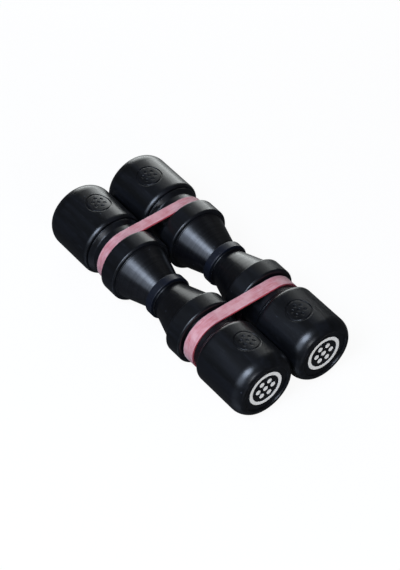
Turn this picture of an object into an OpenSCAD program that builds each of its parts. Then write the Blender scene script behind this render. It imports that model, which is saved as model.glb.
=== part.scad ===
// Pair of double-ended ganza shakers held side by side by two rubber bands.
// Millimetres. The shakers lie along X, one at each side of the XZ plane, and rest on z = 0.
// Every moulding is drawn for the right half (+X) of the front shaker (-Y) and mirrored from there.

/* [Pair] */
// Outer diameter of the cups and collars
can_d = 44; // [42:0.5:50]
// Gap between the two shakers where they lie side by side
pair_gap = 0.3; // [0.2:0.05:1]

/* [Waist ring] */
// Outer diameter of the ring at the waist
ring_d = 29.8; // [28.4:0.1:34]
// Width of the ring along the shaker
ring_w = 5.3; // [4:0.1:8]
// Rounding of the ring's two edges
ring_edge_r = 0.35; // [0.2:0.05:0.8]
// Length of the sleeve that reaches into each cone
sleeve_len = 5.5; // [4:0.25:8]
// Wall of that sleeve
sleeve_wall = 1.8; // [1.2:0.1:2.4]

/* [Cone] */
// Diameter of the cone at the waist ring
cone_small_d = 24.3; // [22:0.1:25]
// Diameter of the cone at its foot, beside the collar
cone_big_d = 38.5; // [37:0.1:38.8]
// Length of the cone from the waist ring to its foot bead
cone_len = 22.9; // [18:0.1:30]
// Wall of the cone
cone_wall = 2; // [1.5:0.1:2.5]
// Diameter of the small bead against the waist ring
cone_lip_d = 26.4; // [26:0.1:27.6]
// Width of that small bead
cone_lip_w = 0.9; // [0.7:0.05:1.4]
// Width of the foot bead that shows in front of the collar
foot_bead_w = 0.75; // [0.5:0.05:2]
// Rounding of both beads
bead_edge_r = 0.4; // [0.2:0.05:0.45]
// Depth of the cone's foot inside the collar
foot_depth = 3; // [2:0.25:4]

/* [Collar] */
// Length of the collar between the cone's foot bead and the neck
collar_len = 12.25; // [10:0.05:15]
// Wall of the collar around the cone's foot
collar_wall = 2.1; // [2:0.05:2.5]
// Rounding of the collar's edge on the cone side
collar_front_r = 1.3; // [1:0.1:1.95]
// Rounding of the collar's edge on the neck side
collar_back_r = 1.3; // [1:0.1:4]
// Width of the ledge inside the collar that stops the cone's foot
ledge_w = 0.8; // [0.6:0.1:1.2]

/* [Neck] */
// Diameter of the neck that a rubber band sits on
neck_d = 35.2; // [33:0.1:36]
// Length of the neck from the collar to the sloping shoulder
neck_len = 12.9; // [12:0.1:20]
// Wall of the neck tube
neck_wall = 2; // [1.5:0.1:2.5]
// Diameter of the sloping shoulder in front of the cup
shoulder_d = 40.4; // [39.6:0.1:41]
// Length of the shoulder, from the neck up to its full diameter
shoulder_w = 2.6; // [1.8:0.1:3.5]
// Width of the narrow lip at the shoulder's full diameter
shoulder_lip_w = 0.2; // [0.1:0.05:0.6]
// Width of the dark groove between the shoulder and the cup
groove_w = 0.8; // [0.5:0.1:1.2]
// Depth of the snap groove below the spigot
snap_depth = 0.7; // [0.4:0.05:0.9]
// Width of the snap bead inside the cup's mouth
snap_w = 1.2; // [0.8:0.1:1.6]
// Length of the spigot inside the cup, past the snap groove
spigot_len = 4.8; // [4:0.1:7]
// Wall of the spigot around the baffle
spigot_wall = 2.4; // [2:0.1:2.8]

/* [Cup] */
// Length of the cup from its mouth to the rim of its end
cup_len = 39.55; // [36:0.05:50]
// Wall of the cup
cup_wall = 2; // [1.8:0.05:2.2]
// Thickness of the cup's closed end behind its recess
end_wall = 2.1; // [1.9:0.1:3]
// Rounding of the cup's mouth
mouth_r = 4; // [3:0.1:7]
// Width of the flat lip that the rounding leaves at the mouth
mouth_flat = 0.9; // [0.1:0.05:1.2]
// Radius of the long arc with which the cup's side starts to close
side_arc_r = 10.2; // [8:0.1:10.4]
// Angle through which that long arc runs, in degrees
side_arc_deg = 43; // [30:1:50]
// Radius of the short arc from there to the rim of the end
end_arc_r = 3; // [2.5:0.1:4]
// Width of the flat top of that rim
rim_w = 0.5; // [0.3:0.05:1.5]
// Depth of the shallow recess inside the rim
recess_depth = 1; // [0.6:0.05:1.2]
// Rounding of the rim's inner edge
rim_edge_r = 0.5; // [0.2:0.05:0.55]

/* [Badge] */
// Diameter of the round badge let into the recess
badge_d = 24.6; // [24.2:0.1:26]
// Thickness of the badge plate
badge_t = 1; // [0.8:0.1:1.3]
// How far the badge's face lies below the floor of the recess
badge_sink = 0.15; // [0.05:0.05:0.3]
// Outer diameter of the white ring on the badge
print_d = 23.9; // [22:0.1:24]
// Inner diameter of the white ring
print_hole_d = 19.4; // [18:0.1:20.4]
// Diameter of each white dot
dot_d = 3.4; // [2:0.1:4]
// Diameter of the circle that the outer dots stand on
dot_ring_d = 11; // [9:0.1:13]
// Thickness of the white print
print_t = 0.15; // [0.1:0.05:0.3]

/* [Emblem] */
// Distance of the sunk emblem from the cup's mouth
emblem_from_mouth = 17.7; // [14:0.1:20]
// Outer diameter of the emblem's ring groove
emblem_d = 16.4; // [12:0.1:18]
// Width of that ring groove
emblem_line_w = 1; // [0.6:0.05:1.4]
// Diameter of each dimple
dimple_d = 2.2; // [1.6:0.1:2.6]
// Diameter of the circle of dimples
dimple_ring_d = 7.6; // [7:0.1:9]
// Depth of groove and dimples below the cup's skin
emblem_depth = 0.45; // [0.2:0.05:0.6]
// Turn of the emblem from the top towards the other shaker, in degrees
emblem_tilt_deg = 7; // [0:1:20]

/* [Baffle] */
// Thickness of the disc that closes the shot chamber
baffle_t = 1.6; // [1.2:0.1:2]
// Diameter of the stiffening boss on the baffle
baffle_boss_d = 12; // [8:0.5:16]
// Height of that boss
baffle_boss_h = 1.2; // [0.8:0.1:2]

/* [Shot] */
// Diameter of one steel ball
shot_d = 4; // [3:0.1:4.2]
// Gap between neighbouring balls
shot_gap = 0.2; // [0.1:0.05:0.4]
// Gap between the balls and the wall they lie on
shot_clear = 0.3; // [0.2:0.05:0.4]
// Balls in a row along the shaker
shot_rows = 3; // [2:1:3]
// Balls side by side on the chamber's floor
shot_lanes = 6; // [2:2:6]

/* [Rubber bands] */
// Thickness of the rubber
band_t = 1.4; // [1:0.1:2]
// Running gap between the rubber and a neck
band_clear = 0.05; // [0.02:0.01:0.1]
// Width of the right band
right_band_w = 8.8; // [7:0.1:9.4]
// Gap between the right band and its collars
right_band_from_collar = 1.4; // [0.4:0.1:2]
// Width of the left band
left_band_w = 7.4; // [6:0.1:9.4]
// Gap between the left band and its collars
left_band_from_collar = 0.4; // [0.3:0.1:2]

/* [Hidden] */
$fn = 96;
// How far a cutting shape reaches past the skin that it cuts
over = 1;
// Glue or push-fit gap between two mouldings of one shaker
fit_gap = 0.05;

can_r = can_d / 2;
ring_r = ring_d / 2;
cone_small_r = cone_small_d / 2;
cone_big_r = cone_big_d / 2;
neck_r = neck_d / 2;
shoulder_r = shoulder_d / 2;
badge_r = badge_d / 2;
shot_r = shot_d / 2;

// Distance of each shaker's axis from the XZ plane
axis_y = can_r + pair_gap / 2;

// Places along the shaker, measured from the waist
flank_x = ring_w / 2;
foot_x = flank_x + cone_len;
collar_x = foot_x + foot_bead_w;
ledge_x = collar_x + foot_depth;
neck_x = collar_x + collar_len;
shoulder_x = neck_x + neck_len;
groove_x = shoulder_x + shoulder_w;
mouth_x = groove_x + groove_w;
spigot_x = mouth_x + snap_w;
spigot_end_x = spigot_x + spigot_len;
end_x = mouth_x + cup_len;
recess_x = end_x - recess_depth;
face_x = recess_x - badge_sink;
cavity_end_x = recess_x - end_wall;
mouth_arc_x = mouth_x + sqrt(pow(mouth_r, 2) - pow(mouth_r - cup_wall + mouth_flat, 2));

// Radii that follow from the walls
foot_r = can_r - collar_wall - fit_gap;
ledge_r = foot_r - ledge_w;
bore_r = neck_r - neck_wall;
cavity_r = can_r - cup_wall;
spigot_r = cavity_r - fit_gap;
snap_r = spigot_r - snap_depth;
baffle_r = spigot_r - spigot_wall;
end_arc_at_r = can_r - side_arc_r + (side_arc_r - end_arc_r) * cos(side_arc_deg);
recess_r = end_arc_at_r - rim_w - rim_edge_r;
sleeve_r = cone_small_r - cone_wall - fit_gap;
sleeve_bore_r = sleeve_r - sleeve_wall;

// Shot chamber between the baffle and the first curve of the cup's end
shot_pitch = shot_d + shot_gap;
shot_orbit_r = cavity_r - shot_clear - shot_r;
lane_half_deg = asin(shot_pitch / 2 / shot_orbit_r);
upper_orbit_r = shot_orbit_r * cos(lane_half_deg)
    - sqrt(3 / 4 * pow(shot_pitch, 2) - pow(shot_orbit_r * sin(lane_half_deg), 2));
cavity_curve_x = curve_start(cavity_end_x, side_arc_r - cup_wall, end_arc_r - cup_wall);
shot_mid_x = (spigot_end_x + shot_clear + shot_r + cavity_curve_x) / 2;

// Where the long arc of a closing end starts, for an end at top_x
function curve_start(top_x, long_r, short_r) =
    top_x - short_r - (long_r - short_r) * sin(side_arc_deg);

// Turns a half outline, radius across and shaker axis upwards, into a solid along X
module revolve() rotate([0, 90, 0]) rotate_extrude() children();

// Rectangle of the half outline between two radii and two places along the axis
module span(r0, r1, x0, x1) translate([r0, x0]) square([r1 - r0, x1 - x0]);

// What a rounding takes off an outer corner; the material lies below it, or above it with flip
module corner_off(r, x, fillet_r, flip = false)
    translate([r - fillet_r, x]) mirror([0, flip ? 1 : 0]) translate([0, -fillet_r])
    difference() {
        square(fillet_r + over);
        circle(fillet_r);
    }

// What rounds a cup's mouth down to its flat lip
module mouth_off()
    difference() {
        span(can_r - mouth_r, can_r + over, mouth_x - over, mouth_arc_x);
        translate([can_r - mouth_r, mouth_arc_x]) circle(mouth_r);
    }

// What closes a cup's end: a long arc from the side, then a short one inside it on to the end face
module end_off(r, top_x, long_r, short_r) {
    start_x = curve_start(top_x, long_r, short_r);
    split_x = start_x + long_r * sin(side_arc_deg);
    short_at = [r - long_r + (long_r - short_r) * cos(side_arc_deg), top_x - short_r];
    difference() {
        span(r - long_r, r + over, start_x, top_x + over);
        translate([r - long_r, start_x]) circle(long_r);
    }
    difference() {
        span(short_at[0], r + over, split_x, top_x + over);
        translate(short_at) circle(short_r);
    }
}

// What sinks the end inside its rim, with the rim's inner edge rounded
module recess_off() {
    span(0, recess_r, recess_x, end_x + over);
    difference() {
        span(recess_r - over, recess_r + rim_edge_r, end_x - rim_edge_r, end_x + over);
        translate([recess_r + rim_edge_r, end_x - rim_edge_r]) circle(rim_edge_r);
    }
}

// Bead of the half outline, rounded on its far side, or with flip on the side towards the waist
module bead(r, x0, x1, flip = false)
    difference() {
        span(0, r, x0, x1);
        corner_off(r, flip ? x0 : x1, bead_edge_r, flip);
    }

// Circle of six places round a middle one
module seven(ring_d)
    union() {
        children();
        for (k = [0:5]) rotate(60 * k) translate([ring_d / 2, 0]) children();
    }

// Puts a right-hand moulding of the front shaker at its side (-1 left, 1 right) and row (-1 front, 1 back)
module place(side, row)
    mirror([side < 0 ? 1 : 0, 0, 0]) mirror([0, row > 0 ? 1 : 0, 0])
    translate([0, -axis_y, can_r]) children();

// Ring at the waist, with the sleeve that joins both cones
module waist_ring()
    color([0.13, 0.15, 0.19]) revolve()
    difference() {
        union() {
            span(sleeve_bore_r, ring_r, -flank_x, flank_x);
            span(sleeve_bore_r, sleeve_r, -flank_x - sleeve_len, flank_x + sleeve_len);
        }
        corner_off(ring_r, flank_x, ring_edge_r);
        corner_off(ring_r, -flank_x, ring_edge_r, flip = true);
    }

// Hollow cone from the waist ring to the collar, with a bead at each end
module cone()
    color([0.06, 0.06, 0.08]) revolve()
    difference() {
        union() {
            polygon([
                [0, flank_x], [cone_small_r, flank_x], [cone_big_r, foot_x], [0, foot_x]
            ]);
            bead(cone_lip_d / 2, flank_x, flank_x + cone_lip_w);
            bead(foot_r, foot_x, ledge_x, flip = true);
        }
        polygon([
            [0, flank_x - over], [cone_small_r - cone_wall, flank_x - over],
            [cone_small_r - cone_wall, flank_x + sleeve_len], [cone_big_r - cone_wall, foot_x],
            [cone_big_r - cone_wall, ledge_x + over], [0, ledge_x + over]
        ]);
    }

// Collar, neck, sloping shoulder and spigot: one moulding with stepped sides
module collar()
    color([0.08, 0.08, 0.1]) revolve()
    difference() {
        union() {
            difference() {
                span(0, can_r, collar_x, neck_x);
                corner_off(can_r, collar_x, collar_front_r, flip = true);
                corner_off(can_r, neck_x, collar_back_r);
            }
            span(0, neck_r, neck_x - over, shoulder_x + over);
            polygon([
                [0, shoulder_x], [neck_r, shoulder_x], [shoulder_r, groove_x - shoulder_lip_w],
                [shoulder_r, groove_x], [0, groove_x]
            ]);
            span(0, snap_r, groove_x, spigot_x);
            span(0, spigot_r, spigot_x, spigot_end_x);
        }
        polygon([
            [0, collar_x - over], [foot_r + fit_gap, collar_x - over],
            [foot_r + fit_gap, ledge_x], [ledge_r, ledge_x], [bore_r, neck_x],
            [bore_r, spigot_end_x - baffle_t], [baffle_r + fit_gap, spigot_end_x - baffle_t],
            [baffle_r + fit_gap, spigot_end_x + over], [0, spigot_end_x + over]
        ]);
    }

// Disc that closes the shot chamber towards the hollow grip
module baffle()
    color([0.2, 0.2, 0.22]) revolve()
    union() {
        span(0, baffle_r, spigot_end_x - baffle_t, spigot_end_x);
        span(0, baffle_boss_d / 2, spigot_end_x - baffle_t - baffle_boss_h, spigot_end_x);
    }

// Cup: straight side, rounded mouth, closed end with a rim, a shallow recess and the badge's pocket
module cup()
    color([0.05, 0.05, 0.06])
    difference() {
        revolve() difference() {
            span(0, can_r, mouth_x, end_x);
            mouth_off();
            end_off(can_r, end_x, side_arc_r, end_arc_r);
            recess_off();
            difference() {
                span(0, cavity_r, spigot_x, cavity_end_x);
                end_off(cavity_r, cavity_end_x, side_arc_r - cup_wall, end_arc_r - cup_wall);
            }
            span(0, snap_r + fit_gap, mouth_x - over, spigot_x + over);
            span(0, badge_r + fit_gap, face_x - badge_t, recess_x + over);
        }
        emblem();
    }

// Sunk emblem on the cup's side: a ring groove round seven dimples, all of one depth
module emblem()
    difference() {
        rotate([-emblem_tilt_deg, 0, 0]) translate([mouth_x + emblem_from_mouth, 0, 0])
        linear_extrude(can_r + over) {
            difference() {
                circle(emblem_d / 2);
                circle(emblem_d / 2 - emblem_line_w);
            }
            seven(dimple_ring_d) circle(dimple_d / 2);
        }
        translate([mouth_x, 0, 0]) rotate([0, 90, 0]) cylinder(r = can_r - emblem_depth, h = cup_len);
    }

// Round badge in its pocket, with a raised white ring and seven white dots
module badge() {
    color([0.05, 0.05, 0.06]) revolve() span(0, badge_r, face_x - badge_t, face_x);
    color([0.85, 0.86, 0.88]) translate([face_x, 0, 0]) rotate([0, 90, 0]) linear_extrude(print_t) {
        difference() {
            circle(print_d / 2);
            circle(print_hole_d / 2);
        }
        seven(dot_ring_d) circle(dot_d / 2);
    }
}

// Steel balls at rest on the chamber's floor, with a few more on top of them
module shot()
    color([0.6, 0.61, 0.63]) {
        for (row = [0:shot_rows - 1]) for (lane = [0:shot_lanes - 1])
            ball(row - (shot_rows - 1) / 2, lane - (shot_lanes - 1) / 2, shot_orbit_r);
        for (row = [1:shot_rows - 1]) for (lane = [1:2:shot_lanes - 1])
            ball(row - shot_rows / 2, lane - shot_lanes / 2, upper_orbit_r);
    }

// One ball, its place given in pitches along the shaker and in lanes round its axis
module ball(row, lane, orbit_r)
    translate([shot_mid_x + row * shot_pitch, 0, 0]) rotate([lane * 2 * lane_half_deg, 0, 0])
    translate([0, 0, -orbit_r]) sphere(shot_r);

// Outline of a loop laid round both necks
module loop(r)
    union() {
        for (row = [-1, 1]) translate([row * axis_y, 0]) circle(r);
        square([2 * axis_y, 2 * r], center = true);
    }

// Flat rubber band round both necks, from near_x and w wide
module band(near_x, w)
    color([0.79, 0.6, 0.67]) translate([near_x, 0, can_r])
    rotate([90, 0, 90]) linear_extrude(w) difference() {
        loop(neck_r + band_clear + band_t);
        loop(neck_r + band_clear);
    }

place(1, -1) waist_ring();  // front_waist_ring
place(1, 1) waist_ring();  // back_waist_ring
place(-1, -1) cup();  // front_left_cup
place(-1, -1) badge();  // front_left_badge
place(-1, -1) collar();  // front_left_collar
place(-1, -1) cone();  // front_left_cone
place(-1, -1) baffle();  // front_left_baffle
place(-1, -1) shot();  // front_left_shot
place(1, -1) cup();  // front_right_cup
place(1, -1) badge();  // front_right_badge
place(1, -1) collar();  // front_right_collar
place(1, -1) cone();  // front_right_cone
place(1, -1) baffle();  // front_right_baffle
place(1, -1) shot();  // front_right_shot
place(-1, 1) cup();  // back_left_cup
place(-1, 1) badge();  // back_left_badge
place(-1, 1) collar();  // back_left_collar
place(-1, 1) cone();  // back_left_cone
place(-1, 1) baffle();  // back_left_baffle
place(-1, 1) shot();  // back_left_shot
place(1, 1) cup();  // back_right_cup
place(1, 1) badge();  // back_right_badge
place(1, 1) collar();  // back_right_collar
place(1, 1) cone();  // back_right_cone
place(1, 1) baffle();  // back_right_baffle
place(1, 1) shot();  // back_right_shot
band(-neck_x - left_band_from_collar - left_band_w, left_band_w);  // left_band
band(neck_x + right_band_from_collar, right_band_w);  // right_band
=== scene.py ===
# %% [markdown]
# A pair of ganza shakers, dressed for the camera.
# Each shaker is a black plastic hourglass with a closed cup of steel shot at either end. Two pink
# rubber bands hold the pair side by side. The mouldings come from the CAD frame, true to size, so
# this lesson is about light, finishes, the printed badges and the rubber.

# %% Load the frame
import bpy
from math import asin, cos, hypot, pi, radians, sin
from mathutils import Matrix, Vector


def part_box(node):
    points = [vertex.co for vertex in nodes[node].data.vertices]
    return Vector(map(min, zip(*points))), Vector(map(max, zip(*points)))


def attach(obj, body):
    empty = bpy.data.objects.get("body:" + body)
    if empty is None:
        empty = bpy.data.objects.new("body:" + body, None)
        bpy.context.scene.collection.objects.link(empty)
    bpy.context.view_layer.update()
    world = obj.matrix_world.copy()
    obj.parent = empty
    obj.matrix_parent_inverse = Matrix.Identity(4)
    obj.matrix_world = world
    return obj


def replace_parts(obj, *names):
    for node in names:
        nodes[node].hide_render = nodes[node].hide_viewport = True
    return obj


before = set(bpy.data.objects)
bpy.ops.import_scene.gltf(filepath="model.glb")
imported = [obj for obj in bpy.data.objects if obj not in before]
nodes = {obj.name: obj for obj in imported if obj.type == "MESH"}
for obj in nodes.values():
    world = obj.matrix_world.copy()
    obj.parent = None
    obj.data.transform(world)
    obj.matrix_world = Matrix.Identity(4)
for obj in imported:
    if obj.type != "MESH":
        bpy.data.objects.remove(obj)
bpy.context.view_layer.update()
bpy.ops.object.select_all(action="DESELECT")

# %% [markdown]
# Everything is in metres, but the real thing was designed in millimetres, so one unit value keeps
# the numbers readable. The places of the mouldings are read from the frame instead of typed again:
# the cup gives the shakers' axes, and the badge will give the flat end.

# %% Units and the places that the frame gives
MM = 0.001

cup_low, cup_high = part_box("front_right_cup")
CUP_R = (cup_high.z - cup_low.z) / 2
AXIS_Z = (cup_high.z + cup_low.z) / 2
AXIS_Y = -(cup_high.y + cup_low.y) / 2
print("cup radius %.1f mm, axes %.2f mm from the middle" % (CUP_R / MM, AXIS_Y / MM))

# %% [markdown]
# The camera stands where the photographer stood: to the right, in front and well above, with a
# long lens that keeps the near and far cups almost the same size. An azimuth of 0 looks along +Y.
# A camera could be aimed with a Track To constraint, but a rotation made from its three own
# directions also holds the slight roll.

# %% Camera
VIEW_AZIMUTH = radians(51.61)
VIEW_ELEVATION = radians(46.55)
VIEW_ROLL = radians(0.27)
VIEW_DISTANCE = 1.1916
VIEW_TARGET = Vector((38.2, -27.4, 66.9)) * MM
LENS_MM = 185.6
SENSOR_MM = 36


def direction(azimuth, elevation):
    """Unit vector that points from the object towards a place round it."""
    level = cos(elevation)
    return Vector((sin(azimuth) * level, -cos(azimuth) * level, sin(elevation)))


camera_data = bpy.data.cameras.new("camera")
camera_data.lens = LENS_MM
camera_data.sensor_width = SENSOR_MM
camera_data.sensor_fit = "HORIZONTAL"
camera = bpy.data.objects.new("camera", camera_data)
bpy.context.scene.collection.objects.link(camera)
bpy.context.scene.camera = camera

back = direction(VIEW_AZIMUTH, VIEW_ELEVATION)
level_right = Vector((cos(VIEW_AZIMUTH), sin(VIEW_AZIMUTH), 0))
level_up = back.cross(level_right)
right = level_right * cos(VIEW_ROLL) + level_up * sin(VIEW_ROLL)
up = level_up * cos(VIEW_ROLL) - level_right * sin(VIEW_ROLL)
camera.matrix_world = (
    Matrix.Translation(VIEW_TARGET + back * VIEW_DISTANCE)
    @ Matrix((right, up, back)).transposed().to_4x4()
)
print("camera at", [round(v, 3) for v in camera.location])

# %% [markdown]
# Colours are written as sRGB hex values, as a colour picker shows them. Shaders count in linear
# light, so one function converts. A second small function adds a shader node with its settings and
# feeds its sockets, and every material below is built with it. Some nodes have several sockets of
# one name, so those are fed by number, and the numbers get names here.

# %% Colour and node helpers
SHARE, FIRST, SECOND, MIXED = 0, 6, 7, 2  # a colour Mix node: three inputs and its output
VALUE, FROM_LOW, FROM_HIGH, TO_LOW, TO_HIGH = range(5)  # the inputs of a Map Range node


def srgb(code):
    """Linear red, green, blue and alpha of a hex colour such as #C99CB0."""
    parts = [int(code[i : i + 2], 16) / 255 for i in (1, 3, 5)]
    return [p / 12.92 if p <= 0.04045 else ((p + 0.055) / 1.055) ** 2.4 for p in parts] + [1]


def add(tree, kind, feed=None, **settings):
    """Adds one node; feed gives a value or an output socket for each input named or numbered."""
    node = tree.nodes.new(kind)
    for name, value in settings.items():
        setattr(node, name, value)
    for socket, value in (feed or {}).items():
        if isinstance(value, bpy.types.NodeSocket):
            tree.links.new(value, node.inputs[socket])
        else:
            node.inputs[socket].default_value = value
    return node


def new_material(name):
    """An empty node material, its tree and its output node."""
    material = bpy.data.materials.new(name)
    material.use_nodes = True
    material.node_tree.nodes.clear()
    return material, material.node_tree, add(material.node_tree, "ShaderNodeOutputMaterial")


print("mid grey #808080 is %.3f in linear light" % srgb("#808080")[0])

# %% [markdown]
# The shakers lie on a white sweep. The camera has to see clean white, yet black plastic turns grey
# if it mirrors that much white. The floor is therefore pale paint that catches the shadow, with a
# white glow mixed in for the camera and for clear things. Mirror rays see a faint share of the
# glow, and the light that bounces up is a mid grey, because the sides of the mouldings and the
# undersides of the bands show that the real sweep was mostly in the dark.

# %% White sweep
FLOOR_SIZE = 12
FLOOR_PAINT = "#FAFAFA"
FLOOR_BOUNCE = "#6A6A6C"
FLOOR_IN_GLOSS = "#202022"
FLOOR_ROUGHNESS = 0.3
PAINT_IOR = 1.5
WHITE = srgb("#FFFFFF")
GLOW_SHARE = 0.93
GLOSS_SHARE = 0.02


def seen_white(tree):
    """Two sockets: how much of the white a ray sees, and 1 for mirror rays."""
    path = add(tree, "ShaderNodeLightPath")
    mirrored = path.outputs["Is Glossy Ray"]
    dimmed = add(tree, "ShaderNodeMath", {0: mirrored, 1: GLOSS_SHARE}, operation="MULTIPLY")
    direct = {0: path.outputs["Is Camera Ray"], 1: path.outputs["Is Transmission Ray"]}
    clear = add(tree, "ShaderNodeMath", direct, operation="ADD")
    parts = {0: clear.outputs[0], 1: dimmed.outputs[0]}
    white = add(tree, "ShaderNodeMath", parts, operation="ADD", use_clamp=True)
    return white.outputs[0], mirrored


bpy.ops.mesh.primitive_plane_add(size=FLOOR_SIZE, location=(0, 0, 0))
floor = bpy.context.active_object
floor.name = "floor"
material, tree, output = new_material("white_sweep")
white, mirrored = seen_white(tree)
bounce = add(tree, "ShaderNodeMix", {
    SHARE: mirrored, FIRST: srgb(FLOOR_BOUNCE), SECOND: srgb(FLOOR_IN_GLOSS),
}, data_type="RGBA")
paint = add(tree, "ShaderNodeMix", {
    SHARE: white, FIRST: bounce.outputs[MIXED], SECOND: srgb(FLOOR_PAINT),
}, data_type="RGBA")
satin = add(tree, "ShaderNodeBsdfPrincipled", {
    "Base Color": paint.outputs[MIXED], "Roughness": FLOOR_ROUGHNESS, "IOR": PAINT_IOR,
})
glow = add(tree, "ShaderNodeEmission", {"Color": WHITE, "Strength": 1})
share = add(tree, "ShaderNodeMath", {0: white, 1: GLOW_SHARE}, operation="MULTIPLY")
mixed = add(tree, "ShaderNodeMixShader", {
    0: share.outputs[0], 1: satin.outputs[0], 2: glow.outputs[0],
})
tree.links.new(mixed.outputs[0], output.inputs["Surface"])
floor.data.materials.append(material)
print("white sweep, %d m wide" % FLOOR_SIZE)

# %% [markdown]
# Beyond the sweep the room is white for the camera as well, so that no edge of the floor shows. As
# a lamp it is very dim: it only keeps the deepest shadows from going fully black. A big white dome
# could do both, but a background with two strengths needs no mesh.

# %% Dim room
DIM_ROOM = 0.035

world = bpy.data.worlds.new("studio")
bpy.context.scene.world = world
world.use_nodes = True
tree = world.node_tree
tree.nodes.clear()
strength = add(tree, "ShaderNodeMapRange", {
    VALUE: seen_white(tree)[0], TO_LOW: DIM_ROOM, TO_HIGH: 1,
})
background = add(tree, "ShaderNodeBackground", {
    "Color": WHITE, "Strength": strength.outputs[0],
})
output = add(tree, "ShaderNodeOutputWorld")
tree.links.new(background.outputs[0], output.inputs["Surface"])
print("room lights the pair at a strength of", DIM_ROOM)

# %% [markdown]
# Black gloss shows its lamps, so the highlights in the photograph tell where the lamps stood. The
# long glints on the left cones and the round ones on the near ends point to a high softbox in
# front, with its spill below it. The sheen along the tops of the cups points to a low one behind,
# with a strip down to the floor and a dim glow above. A small one at the right draws the thin arcs
# on the shoulders and mouths, and a soft fill there lights the end badges. It is hidden from
# mirror rays, as the plates reflect nothing of it. Each is an area lamp, whose brightness is given
# per unit of its surface.

# %% Softboxes
PAIR_CENTRE = (0, 0, 0.02)
COOL = "#D8E7FF"
PALE = "#FAFFFF"


def softbox(name, place, aim, width, height, brightness, tint, shape="RECTANGLE"):
    """Area lamp at a place, turned to an aim point, with its brightness as radiance."""
    lamp = bpy.data.lights.new(name, "AREA")
    lamp.shape = shape
    lamp.size = width
    lamp.size_y = height
    lamp.energy = brightness * pi * width * height * (pi / 4 if shape == "ELLIPSE" else 1)
    lamp.color = srgb(tint)[:3]
    box = bpy.data.objects.new(name, lamp)
    bpy.context.scene.collection.objects.link(box)
    box.location = place
    box.rotation_euler = (Vector(place) - Vector(aim)).to_track_quat("Z", "Y").to_euler()
    box.visible_camera = False
    print("%s: %.2f x %.2f m, radiance %.1f" % (name, width, height, brightness))
    return box


def around(azimuth, elevation, distance=1):
    """Place round the object at an azimuth and elevation in degrees."""
    return direction(radians(azimuth), radians(elevation)) * distance


softbox("key_softbox", around(19, 56), PAIR_CENTRE, 0.62, 0.44, 14, COOL, "ELLIPSE")
softbox("key_spill", around(10, 32), PAIR_CENTRE, 0.62, 0.56, 3, COOL)
softbox("back_softbox", (-0.543, 0.414, 0.175), (-0.02, -0.025, 0.175), 0.535, 0.39, 2.9, PALE)
softbox("back_glow", around(-134, 43, 0.75), PAIR_CENTRE, 0.6, 0.2, 0.5, PALE)
softbox("back_strip", (-0.536, 0.408, 0.05), (-0.02, -0.025, 0.05), 0.535, 0.12, 2.2, PALE)
softbox("side_softbox", around(72, 25), PAIR_CENTRE, 0.26, 0.26, 7, "#EEF4FF")
end_fill = softbox("end_fill", around(80, 20), PAIR_CENTRE, 0.5, 0.5, 3.6, "#FFFBF5")
end_fill.visible_glossy = False

# %% [markdown]
# The cups, collars and grips are injection-moulded ABS, and hands have worn them. Wiping leaves
# long faint streaks along the shaker, and fine scuffs cross them at a slant. A painted map could
# hold both, but noise that is stretched along one direction gives them without a seam. A spread,
# here and below, is the part of a pattern's values over which its effect grows from none to full.

# %% Streaks and scuffs
POLISH_LENGTH = 45 * MM
POLISH_WIDTH = 5 * MM
SCUFF_LENGTH = 9 * MM
SCUFF_WIDTH = 0.5 * MM
SCUFF_TURN = (0.5, 0.3, 0.8)
SCUFF_SPREAD = {FROM_LOW: 0.66, FROM_HIGH: 0.78}


def wear_marks(tree, place):
    """Sockets that say where the plastic is polished and where it is scuffed."""
    wiped = add(tree, "ShaderNodeMapping", {
        "Vector": place, "Scale": (1 / POLISH_LENGTH, 1 / POLISH_WIDTH, 1 / POLISH_WIDTH),
    })
    polish = add(tree, "ShaderNodeTexNoise", {"Vector": wiped.outputs[0], "Scale": 1, "Detail": 4})
    drawn = add(tree, "ShaderNodeMapping", {
        "Vector": place, "Rotation": SCUFF_TURN,
        "Scale": (1 / SCUFF_LENGTH, 1 / SCUFF_WIDTH, 1 / SCUFF_WIDTH),
    })
    scuffs = add(tree, "ShaderNodeTexNoise", {"Vector": drawn.outputs[0], "Scale": 1, "Detail": 1})
    scuffed = add(tree, "ShaderNodeMapRange", {VALUE: scuffs.outputs["Fac"], **SCUFF_SPREAD})
    return polish.outputs["Fac"], scuffed.outputs[0]


print("streaks %.0f mm and scuffs %.0f mm long" % (POLISH_LENGTH / MM, SCUFF_LENGTH / MM))

# %% [markdown]
# The streaks make the black a little paler and its gloss uneven, the scuffs are paler and duller
# still, and a few specks of dust lie on top. The dust is a Voronoi pattern of which only the
# middle of each cell counts. How strong the streaks are is one number, so that a finish which is
# handled less can have less of them.

# %% Handled black
POLISH_SWING = 0.02
POLISH_SPREAD = {FROM_LOW: 0.3, FROM_HIGH: 0.7}
STREAK_SPREAD = {FROM_LOW: 0.4, FROM_HIGH: 0.75}
SCUFF_DULLING = 0.06
DUST_SPACING = 7 * MM
DUST_SIZE = 0.035
POLISHED, SCUFFED, DUSTY = "#111318", "#1E2025", "#4A4E58"


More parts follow.
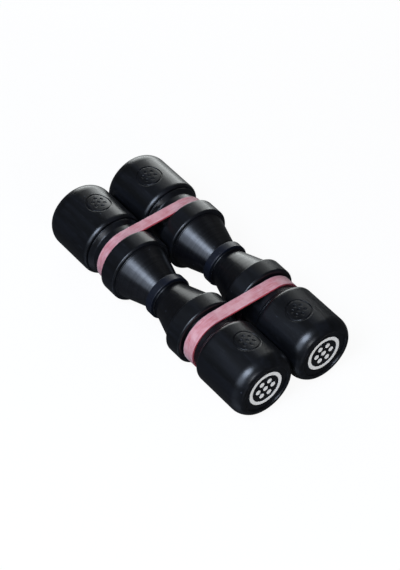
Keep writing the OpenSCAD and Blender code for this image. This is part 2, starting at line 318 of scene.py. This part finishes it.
def handled_black(tree, place, colour, roughness, wear):
    """Sockets for the colour and the roughness of black plastic that hands have worn."""
    polish, scuffed = wear_marks(tree, place)
    uneven = add(tree, "ShaderNodeMapRange", {
        VALUE: polish, **POLISH_SPREAD,
        TO_LOW: roughness - POLISH_SWING * wear, TO_HIGH: roughness + POLISH_SWING * wear,
    })
    gloss = add(tree, "ShaderNodeMath", {
        0: scuffed, 1: SCUFF_DULLING, 2: uneven.outputs[0],
    }, operation="MULTIPLY_ADD")
    streak = add(tree, "ShaderNodeMapRange", {VALUE: polish, **STREAK_SPREAD, TO_HIGH: wear})
    streaked = add(tree, "ShaderNodeMix", {
        SHARE: streak.outputs[0], FIRST: srgb(colour), SECOND: srgb(POLISHED),
    }, data_type="RGBA")
    worn = add(tree, "ShaderNodeMix", {
        SHARE: scuffed, FIRST: streaked.outputs[MIXED], SECOND: srgb(SCUFFED),
    }, data_type="RGBA")
    specks = add(tree, "ShaderNodeTexVoronoi", {"Vector": place, "Scale": 1 / DUST_SPACING})
    dust = add(tree, "ShaderNodeMath", {
        0: specks.outputs["Distance"], 1: DUST_SIZE,
    }, operation="LESS_THAN")
    dusty = add(tree, "ShaderNodeMix", {
        SHARE: dust.outputs[0], FIRST: worn.outputs[MIXED], SECOND: srgb(DUSTY),
    }, data_type="RGBA")
    return dusty.outputs[MIXED], gloss.outputs[0]


print("a speck of dust about every %.0f mm" % (DUST_SPACING / MM))

# %% [markdown]
# The mould's surface was spark-eroded, so the plastic has a very fine grain that spreads each
# glint a little. Grain of about 0.1 mm is too fine to show here, so it is drawn at 0.35 mm, as a
# plain noise bump. Moulded edges are never quite sharp, and the edges near the cups are rounder
# than those near the waist. A Bevel node softens them for the light only, by a radius that
# changes between two distances from the waist. The cones were turned in the mould, which left
# fine rings round them. They are noise that is squeezed along the axis, and they change how much
# is mirrored more than they change the shape, since a deep bump would tear up the long glints.

# %% Grain, soft edges and turned rings
GRAIN_SIZE = 0.35 * MM
WAIST_EDGES = 40 * MM
CUP_EDGES = 48 * MM
EDGE_SAMPLES = 6
RING_WANDER = 12
FULL_GLOSS = 0.5
RING_SPREAD = {FROM_LOW: 0.35, FROM_HIGH: 0.65, TO_LOW: 0.43, TO_HIGH: 0.57}


def grained_normal(tree, place, grain_depth, edge_r):
    """Normal with fine grain; edge_r gives the soft edges' radius near the waist and the cups."""
    grain = add(tree, "ShaderNodeTexNoise", {
        "Vector": place, "Scale": 1 / GRAIN_SIZE, "Detail": 2,
    })
    bump = add(tree, "ShaderNodeBump", {
        "Height": grain.outputs["Fac"], "Strength": 1, "Distance": grain_depth,
    })
    if edge_r:
        apart = add(tree, "ShaderNodeSeparateXYZ", {0: place})
        out = add(tree, "ShaderNodeMath", {0: apart.outputs[0]}, operation="ABSOLUTE")
        radius = add(tree, "ShaderNodeMapRange", {
            VALUE: out.outputs[0], FROM_LOW: WAIST_EDGES, FROM_HIGH: CUP_EDGES,
            TO_LOW: edge_r[0], TO_HIGH: edge_r[1],
        })
        soft = add(tree, "ShaderNodeBevel", {"Radius": radius.outputs[0]}, samples=EDGE_SAMPLES)
        tree.links.new(soft.outputs[0], bump.inputs["Normal"])
    return bump.outputs[0]


def turned_rings(tree, place, normal, pitch, depth):
    """Normal and specular level of a surface with fine turned rings."""
    along = add(tree, "ShaderNodeMapping", {
        "Vector": place, "Scale": (1 / pitch, RING_WANDER, RING_WANDER),
    })
    rings = add(tree, "ShaderNodeTexNoise", {"Vector": along.outputs[0], "Scale": 1, "Detail": 2})
    bump = add(tree, "ShaderNodeBump", {
        "Height": rings.outputs["Fac"], "Strength": 1, "Distance": depth, "Normal": normal,
    })
    level = add(tree, "ShaderNodeMapRange", {VALUE: rings.outputs["Fac"], **RING_SPREAD})
    return bump.outputs[0], level.outputs[0]


print("soft edges change between %.0f and %.0f mm out" % (WAIST_EDGES / MM, CUP_EDGES / MM))

# %% [markdown]
# One function now makes every black plastic of the pair. The cups and collars are satin. The cones
# are a little glossier, show their turned rings and have less of the streaks, because the fingers
# that hold them polish them evenly. The waist rings are blue-black, and the hidden baffles are
# plain dark grey.

# %% Moulded ABS
ABS_IOR = 1.5


def moulded_abs(name, colour, roughness, grain_depth, ring_pitch=0, ring_depth=0, edge_r=None,
                wear=1):
    """Black moulded plastic, with turned rings if they have a pitch."""
    material, tree, output = new_material(name)
    place = add(tree, "ShaderNodeTexCoord").outputs["Object"]
    black, gloss = handled_black(tree, place, colour, roughness, wear)
    normal = grained_normal(tree, place, grain_depth, edge_r)
    level = FULL_GLOSS
    if ring_pitch:
        normal, level = turned_rings(tree, place, normal, ring_pitch, ring_depth)
    plastic = add(tree, "ShaderNodeBsdfPrincipled", {
        "Base Color": black, "Roughness": gloss, "IOR": ABS_IOR, "Specular IOR Level": level,
        "Normal": normal,
    })
    tree.links.new(plastic.outputs[0], output.inputs["Surface"])
    print("%s: %s, roughness %.2f" % (name, colour, roughness))
    return material


cup_plastic = moulded_abs(
    "cup_plastic", "#07080A", 0.297, 0.003 * MM, edge_r=(0.4 * MM, 0.4 * MM)
)
collar_plastic = moulded_abs(
    "collar_plastic", "#08090B", 0.297, 0.003 * MM, edge_r=(0.1 * MM, 1 * MM)
)
cone_plastic = moulded_abs(
    "cone_plastic", "#08080A", 0.285, 0.002 * MM, 0.7 * MM, 0.004 * MM, wear=0.3
)
ring_plastic = moulded_abs("waist_ring_plastic", "#0F131E", 0.32, 0.003 * MM)
baffle_plastic = moulded_abs("baffle_plastic", "#2A2A2D", 0.5, 0.005 * MM)

# %% [markdown]
# The shot is plain hardened steel, tumbled and not polished. It is shut in the cups, so it shows
# only when someone opens one, but it still gets its own metal. Then each CAD node takes the finish
# that its name calls for. The bands and badges are left out, because new pieces replace them.

# %% Steel shot, and the finishes of the CAD nodes
PIT_SIZE = 0.4 * MM
PIT_DEPTH = 0.003 * MM
STEEL_GLOSS = {TO_LOW: 0.24, TO_HIGH: 0.4}


def tumbled_steel():
    """Plain steel with the fine pits of the tumbling drum."""
    material, tree, output = new_material("shot_steel")
    place = add(tree, "ShaderNodeTexCoord").outputs["Object"]
    pits = add(tree, "ShaderNodeTexNoise", {"Vector": place, "Scale": 1 / PIT_SIZE, "Detail": 3})
    dull = add(tree, "ShaderNodeMapRange", {VALUE: pits.outputs["Fac"], **STEEL_GLOSS})
    bump = add(tree, "ShaderNodeBump", {
        "Height": pits.outputs["Fac"], "Strength": 1, "Distance": PIT_DEPTH,
    })
    steel = add(tree, "ShaderNodeBsdfPrincipled", {
        "Base Color": srgb("#C6C7C9"), "Metallic": 1, "Roughness": dull.outputs[0],
        "Normal": bump.outputs[0],
    })
    tree.links.new(steel.outputs[0], output.inputs["Surface"])
    return material


FINISHES = {
    "cup": cup_plastic, "collar": collar_plastic, "cone": cone_plastic,
    "waist_ring": ring_plastic, "baffle": baffle_plastic, "shot": tumbled_steel(),
}
for name, node in nodes.items():
    for piece, finish in FINISHES.items():
        if name.endswith(piece):
            node.data.materials.clear()
            node.data.materials.append(finish)
print("finishes for", len(nodes), "CAD nodes")

# %% [markdown]
# Pieces are modelled by hand from here on. Three helpers save typing: one opens a piece in edit
# mode, one picks the parts that a test names, and one puts a piece's place into its mesh.

# %% Helpers for modelling by hand
def edit(piece):
    """Makes one piece the only selected one and opens it in edit mode with nothing selected."""
    bpy.ops.object.select_all(action="DESELECT")
    piece.select_set(True)
    bpy.context.view_layer.objects.active = piece
    bpy.ops.object.mode_set(mode="EDIT")
    bpy.ops.mesh.select_all(action="DESELECT")


def pick(piece, part, chosen):
    """Selects the vertices or edges for which chosen is true, in edit mode."""
    modes = {"vertices": "VERT", "edges": "EDGE"}
    bpy.ops.mesh.select_all(action="DESELECT")
    bpy.ops.mesh.select_mode(type=modes[part])
    bpy.ops.object.mode_set(mode="OBJECT")
    for item in getattr(piece.data, part):
        item.select = chosen(item)
    bpy.ops.object.mode_set(mode="EDIT")


def set_place(piece):
    """Puts a piece's place into its mesh, so that its object sits at the origin."""
    bpy.ops.object.mode_set(mode="OBJECT")
    bpy.ops.object.transform_apply(location=True, rotation=True, scale=True)


print("helpers:", edit.__name__, pick.__name__, set_place.__name__)

# %% [markdown]
# A rubber band is cut from a long tube of natural rubber and stretched over both necks. Where it
# leaves a neck it runs straight to the other one. It is modelled as a maker would lay it: a circle
# round one neck, pulled apart into a long loop, and extruded to its width. The cut is never quite
# even, so a slow swell moves both edges in a little. A curve with a flat profile could make the
# loop too, but a mesh keeps the steps across the width that the swell needs.

# %% Rubber strip
BAND_THICKNESS = 1.4 * MM
BAND_STEPS = 162
SPAN_CUTS = 15
WIDTH_STEPS = 8
NARROWING = 0.02
SWELL_Y, SWELL_Z, RIPPLE_Y = 90, 60, 210  # radians a metre, for waves of 70, 105 and 30 mm
RIPPLE_START = 1


def swell(y, z):
    """Slow unevenness of the cut, from -2 to 2."""
    return sin(SWELL_Y * y) * cos(SWELL_Z * z) + sin(RIPPLE_Y * y + RIPPLE_START)


def looped_strip(name, low_x, width, radius, axis_y):
    """Thin strip round both necks, at the inner side of the rubber."""
    bpy.ops.mesh.primitive_circle_add(
        vertices=BAND_STEPS, radius=radius, location=(low_x, 0, AXIS_Z), rotation=(0, pi / 2, 0)
    )
    strip = bpy.context.active_object
    strip.name = name
    set_place(strip)
    edit(strip)
    for side in (-1, 1):
        pick(strip, "vertices", lambda v: v.co.y * side > 0)
        bpy.ops.transform.translate(value=(0, side * axis_y, 0))
    ends = strip.data.vertices
    pick(strip, "edges", lambda e: (
        ends[e.vertices[0]].co - ends[e.vertices[1]].co
    ).length > axis_y)
    bpy.ops.mesh.subdivide(number_cuts=SPAN_CUTS)
    bpy.ops.mesh.select_mode(type="EDGE")
    bpy.ops.mesh.select_all(action="SELECT")
    for step in range(WIDTH_STEPS):
        bpy.ops.mesh.extrude_edges_move(
            TRANSFORM_OT_translate={"value": (width / WIDTH_STEPS, 0, 0)}
        )
    bpy.ops.mesh.select_all(action="SELECT")
    bpy.ops.mesh.normals_make_consistent(inside=False)
    bpy.ops.object.mode_set(mode="OBJECT")
    mid_x = low_x + width / 2
    for v in strip.data.vertices:
        v.co.x = mid_x + (v.co.x - mid_x) * (1 - NARROWING * (1 + swell(v.co.y, v.co.z) / 2))
    return strip


print("strip: %d steps round, %d across" % (BAND_STEPS + 2 * SPAN_CUTS, WIDTH_STEPS))

# %% [markdown]
# The strip gets its thickness with Solidify, outwards from the necks, and Bevel softens its cut
# edges. The finish needs to know where along and across the strip it is, so the band gets a UV map
# that is measured on the rubber: metres along the loop, and -1 to 1 across it.

# %% Rubber band
EDGE_ROUND = 0.3 * MM
EDGE_STEPS = 3
SHARP = radians(50)
UNDERSIDE_SHIFT = 1


def strip_map(band, axis_y, radius, mid_x, half_width):
    """UV map along and across the strip; the lower half of the loop gets its own stretch."""
    layer = band.data.uv_layers.new(name="strip")
    for loop in band.data.loops:
        x, y, z = band.data.vertices[loop.vertex_index].co
        past = abs(y) - axis_y
        turn = asin(max(-1, min(1, past / hypot(past, z - AXIS_Z)))) if past > 0 else 0
        along = min(abs(y), axis_y) + radius * turn
        shift = 0 if z > AXIS_Z else UNDERSIDE_SHIFT
        layer.data[loop.index].uv = (
            (along if y > 0 else -along) + shift, (x - mid_x) / half_width
        )


def rubber_band(name, node):
    """The band that stands for a CAD node, in the space that the node holds."""
    low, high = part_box(node)
    outer_r = (high.z - low.z) / 2
    axis_y = high.y - outer_r
    width = high.x - low.x
    band = looped_strip(name, low.x, width, outer_r - BAND_THICKNESS, axis_y)
    outward = sum(
        p.normal.dot(p.center - Vector((p.center.x, 0, AXIS_Z))) for p in band.data.polygons
    )
    thick = band.modifiers.new("rubber", "SOLIDIFY")
    thick.thickness = BAND_THICKNESS
    thick.offset = 1 if outward > 0 else -1
    soft = band.modifiers.new("cut_edges", "BEVEL")
    soft.width = EDGE_ROUND
    soft.segments = EDGE_STEPS
    soft.limit_method = "ANGLE"
    soft.angle_limit = SHARP
    for modifier in ("rubber", "cut_edges"):
        bpy.ops.object.modifier_apply(modifier=modifier)
    bpy.ops.object.shade_smooth()
    strip_map(band, axis_y, outer_r, (low.x + high.x) / 2, width / 2)
    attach(band, "bands")
    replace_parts(band, node)
    print(name, "width %.1f mm, %d faces" % (width / MM, len(band.data.polygons)))
    return band


print("rubber %.1f mm thick, edges rounded by %.1f mm" % (BAND_THICKNESS / MM, EDGE_ROUND / MM))

# %% [markdown]
# Natural rubber of this kind is dusty pink and a little blotchy, with faint pale lines along the
# strip from the cutting. Pale rims along both edges of the face are a painted highlight, and the
# redder cut edges also hold painted dark red shade. The blotches are about 7 mm long, and the lines
# are drawn half a millimetre apart. The blotches are noise in the piece's own space. The lines,
# rims and edges need the strip's UV map, which carries them round the bends.

# %% Colours of the strip
BLOTCH_SIZE = 7 * MM
BLOTCH_SPREAD = {FROM_LOW: 0.35, FROM_HIGH: 0.65}
LINE_LENGTH = 9 * MM
LINES_ACROSS = 9
LINE_SPREAD = {FROM_LOW: 0.42, FROM_HIGH: 0.7, TO_HIGH: 0.5}
# The pale rim colour is a painted highlight along both edges of the band's face.
RIM_HIGHLIGHT_SPREAD = {FROM_LOW: 0.78, FROM_HIGH: 0.88, TO_HIGH: 0.35}
# The red cut colour is partly the rubber's redder cut and partly painted dark red shade.
CUT_AND_SHADE_SPREAD = {FROM_LOW: 0.92, FROM_HIGH: 0.97}
PALE_PINK, DEEP_PINK, LINE_PINK = "#D09697", "#BA6469", "#DAB8BB"
RIM_HIGHLIGHT_PINK, RED_CUT_AND_SHADE = "#C5A5AA", "#B43642"


def strip_colour(tree, place, strip):
    """Socket for the rubber's colour, by its place and by its place on the strip."""
    blotches = add(tree, "ShaderNodeTexNoise", {
        "Vector": place, "Scale": 1 / BLOTCH_SIZE, "Detail": 4, "Roughness": 0.6,
    })
    blotchy = add(tree, "ShaderNodeMapRange", {VALUE: blotches.outputs["Fac"], **BLOTCH_SPREAD})
    body = add(tree, "ShaderNodeMix", {
        SHARE: blotchy.outputs[0], FIRST: srgb(PALE_PINK), SECOND: srgb(DEEP_PINK),
    }, data_type="RGBA")
    drawn = add(tree, "ShaderNodeMapping", {
        "Vector": strip, "Scale": (1 / LINE_LENGTH, LINES_ACROSS, 1),
    })
    lines = add(tree, "ShaderNodeTexNoise", {"Vector": drawn.outputs[0], "Scale": 1, "Detail": 3})
    line = add(tree, "ShaderNodeMapRange", {VALUE: lines.outputs["Fac"], **LINE_SPREAD})
    lined = add(tree, "ShaderNodeMix", {
        SHARE: line.outputs[0], FIRST: body.outputs[MIXED], SECOND: srgb(LINE_PINK),
    }, data_type="RGBA")
    across = add(tree, "ShaderNodeSeparateXYZ", {0: strip}).outputs[1]
    out = add(tree, "ShaderNodeMath", {0: across}, operation="ABSOLUTE")
    # Painted highlight: the face turns pale towards both edges.
    rim = add(tree, "ShaderNodeMapRange", {VALUE: out.outputs[0], **RIM_HIGHLIGHT_SPREAD})
    rim_highlighted = add(tree, "ShaderNodeMix", {
        SHARE: rim.outputs[0], FIRST: lined.outputs[MIXED], SECOND: srgb(RIM_HIGHLIGHT_PINK),
    }, data_type="RGBA")
    # Partly painted shade: the cut edges turn red, standing also for the dark red shade along them.
    cut = add(tree, "ShaderNodeMapRange", {VALUE: out.outputs[0], **CUT_AND_SHADE_SPREAD})
    pink = add(tree, "ShaderNodeMix", {
        SHARE: cut.outputs[0], FIRST: rim_highlighted.outputs[MIXED], SECOND: srgb(RED_CUT_AND_SHADE),
    }, data_type="RGBA")
    return pink.outputs[MIXED]


print("blotches of about %.0f mm on the rubber" % (BLOTCH_SIZE / MM))

# %% [markdown]
# The rubber is matt, and a light powder on it gives a soft sheen at the sides. Its grain is a
# shallow noise bump. Then both bands are made, each from the box of the node that it replaces.

# %% Pink rubber and both bands
RUBBER_GRAIN = 0.5 * MM
RUBBER_GRAIN_DEPTH = 0.02 * MM
RUBBER_IOR = 1.52
RUBBER_ROUGHNESS = 0.7
POWDER_SHEEN = 0.15


def pink_rubber():
    """Dusty pink rubber for a piece with the strip's UV map."""
    material, tree, output = new_material("band_rubber")
    strip = add(tree, "ShaderNodeUVMap", uv_map="strip").outputs[0]
    place = add(tree, "ShaderNodeTexCoord").outputs["Object"]
    grain = add(tree, "ShaderNodeTexNoise", {
        "Vector": place, "Scale": 1 / RUBBER_GRAIN, "Detail": 3,
    })
    bump = add(tree, "ShaderNodeBump", {
        "Height": grain.outputs["Fac"], "Strength": 1, "Distance": RUBBER_GRAIN_DEPTH,
    })
    rubber = add(tree, "ShaderNodeBsdfPrincipled", {
        "Base Color": strip_colour(tree, place, strip), "Roughness": RUBBER_ROUGHNESS,
        "IOR": RUBBER_IOR, "Sheen Weight": POWDER_SHEEN, "Normal": bump.outputs[0],
    })
    tree.links.new(rubber.outputs[0], output.inputs["Surface"])
    return material


band_rubber = pink_rubber()
for side in ("left", "right"):
    rubber_band(side + "_rubber_band", side + "_band").data.materials.append(band_rubber)

# %% [markdown]
# Each end has a round badge in a shallow recess: a gloss black plate with a white ring and seven
# white dots, printed thick enough to feel. The plate is a cylinder whose front rim is bevelled. It
# is modelled once, for the front right end.

# %% Badge plate
INK = 0.08 * MM
PRINT_SPACE = 0.15 * MM
RIM_BEVEL = 0.18 * MM
RIM_STEPS = 3
SMOOTH_ANGLE = radians(40)
BADGE_STEPS = 128
TOUCH = 0.01 * MM

badge_low, badge_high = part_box("front_right_badge")
BADGE_R = (badge_high.z - badge_low.z) / 2
FACE_X = badge_high.x - PRINT_SPACE
PLATE_T = FACE_X - badge_low.x
BADGE_CENTRE = (FACE_X, -AXIS_Y, AXIS_Z)
print("badge radius %.2f mm, plate %.2f mm thick" % (BADGE_R / MM, PLATE_T / MM))


def badge_plate():
    """Round plate with a bevelled front rim."""
    bpy.ops.mesh.primitive_cylinder_add(
        vertices=BADGE_STEPS, radius=BADGE_R, depth=PLATE_T, rotation=(0, pi / 2, 0),
        location=(FACE_X - PLATE_T / 2, -AXIS_Y, AXIS_Z),
    )
    plate = bpy.context.active_object
    set_place(plate)
    edit(plate)
    corners = plate.data.vertices
    pick(plate, "edges", lambda e: all(corners[v].co.x > FACE_X - TOUCH for v in e.vertices))
    bpy.ops.mesh.bevel(offset=RIM_BEVEL, segments=RIM_STEPS)
    set_place(plate)
    bpy.ops.object.shade_smooth_by_angle(angle=SMOOTH_ANGLE)
    return plate


# %% [markdown]
# The print is made from circles that are extruded inwards to a ring, or filled to dots. All of
# them are joined and lifted together by the thickness of the ink. Flat curves with some depth could
# give the same raised print, but they would have to be made a mesh in the end.

# %% Badge print
PRINT_R = 11.95 * MM
PRINT_HOLE_R = 9.7 * MM
DOT_R = 1.7 * MM
DOT_CIRCLE_R = 5.5 * MM
OUTER_DOTS = 6
DOT_STEPS = 40


def disc(steps, radius, y, z, filled):
    """Circle that faces along X on the badge's face."""
    bpy.ops.mesh.primitive_circle_add(
        vertices=steps, radius=radius, location=(FACE_X, y, z), rotation=(0, pi / 2, 0),
        fill_type="NGON" if filled else "NOTHING",
    )
    piece = bpy.context.active_object
    set_place(piece)
    return piece


def badge_print():
    """Raised ring with one dot in the middle and six round it."""
    ring = disc(BADGE_STEPS, PRINT_R, -AXIS_Y, AXIS_Z, False)
    edit(ring)
    bpy.ops.mesh.select_mode(type="EDGE")
    bpy.ops.mesh.select_all(action="SELECT")
    bpy.ops.mesh.extrude_edges_move()
    bpy.ops.transform.resize(
        value=(1, PRINT_HOLE_R / PRINT_R, PRINT_HOLE_R / PRINT_R), center_override=BADGE_CENTRE
    )
    bpy.ops.object.mode_set(mode="OBJECT")
    parts = [ring, disc(DOT_STEPS, DOT_R, -AXIS_Y, AXIS_Z, True)]
    for k in range(1, OUTER_DOTS + 1):
        angle = k * 2 * pi / OUTER_DOTS
        y = -AXIS_Y + DOT_CIRCLE_R * cos(angle)
        z = AXIS_Z + DOT_CIRCLE_R * sin(angle)
        parts.append(disc(DOT_STEPS, DOT_R, y, z, True))
    bpy.ops.object.select_all(action="DESELECT")
    for part in parts:
        part.select_set(True)
    bpy.context.view_layer.objects.active = ring
    bpy.ops.object.join()
    edit(ring)
    bpy.ops.mesh.select_mode(type="FACE")
    bpy.ops.mesh.select_all(action="SELECT")
    bpy.ops.mesh.extrude_region_move(TRANSFORM_OT_translate={"value": (INK, 0, 0)})
    bpy.ops.mesh.select_all(action="SELECT")
    bpy.ops.mesh.normals_make_consistent(inside=False)
    set_place(ring)
    return ring


print("print: a ring of %.1f mm radius and %d dots" % (PRINT_R / MM, OUTER_DOTS + 1))

# %% [markdown]
# The plate is the same ABS as the cups, but glossier. The ink is an off-white screen print: nearly
# matt, with a few small voids where the screen printed thin.

# %% Badge finishes
VOID_SIZE = 0.6 * MM
VOID_SPREAD = {FROM_LOW: 0.62, FROM_HIGH: 0.8, TO_HIGH: 0.5}
INK_IOR = 1.5
INK_ROUGHNESS = 0.55
INK_WHITE, THIN_INK = "#F7F5F0", "#B5B6B8"


def screen_ink():
    """Off-white printing ink with thin spots."""
    material, tree, output = new_material("badge_ink")
    place = add(tree, "ShaderNodeTexCoord").outputs["Object"]
    thin = add(tree, "ShaderNodeTexNoise", {"Vector": place, "Scale": 1 / VOID_SIZE, "Detail": 4})
    worn = add(tree, "ShaderNodeMapRange", {VALUE: thin.outputs["Fac"], **VOID_SPREAD})
    ink = add(tree, "ShaderNodeMix", {
        SHARE: worn.outputs[0], FIRST: srgb(INK_WHITE), SECOND: srgb(THIN_INK),
    }, data_type="RGBA")
    shine = add(tree, "ShaderNodeBsdfPrincipled", {
        "Base Color": ink.outputs[MIXED], "Roughness": INK_ROUGHNESS, "IOR": INK_IOR,
    })
    tree.links.new(shine.outputs[0], output.inputs["Surface"])
    return material


badge_black = moulded_abs("badge_black", "#0C0C0E", 0.24, 0.002 * MM)
plate = badge_plate()
plate.data.materials.append(badge_black)
ink = badge_print()
ink.data.materials.append(screen_ink())

# %% [markdown]
# The four badges are copies of the one at the front right. A copy for another end is mirrored in
# its mesh, because its object has to stay at the origin. One mirror turns a shape inside out, so
# its faces are flipped back, and two mirrors cancel out. The patterns themselves are deleted.

# %% Badges on all four ends
def badge_copy(piece, name, side, row, body):
    """Copy of a front right piece, with its own mesh, for a side (-1 left) and row (1 back)."""
    copy = bpy.data.objects.new(name, piece.data.copy())
    bpy.context.scene.collection.objects.link(copy)
    copy.data.transform(Matrix.Diagonal((side, -row, 1, 1)))
    if side * -row < 0:
        copy.data.flip_normals()
    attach(copy, body)
    print(name, "rides on", body)
    return copy


for row, row_name in ((-1, "front"), (1, "back")):
    body = row_name + "_shaker"
    for side, side_name in ((-1, "left"), (1, "right")):
        end = row_name + "_" + side_name + "_badge"
        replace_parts(badge_copy(plate, end + "_plate", side, row, body), end)
        badge_copy(ink, end + "_print", side, row, body)
for pattern in (plate, ink):
    bpy.data.objects.remove(pattern)

# %% [markdown]
# The Standard view shows colours as they are written, with no film curve.

# %% Colour view
bpy.context.scene.view_settings.view_transform = "Standard"
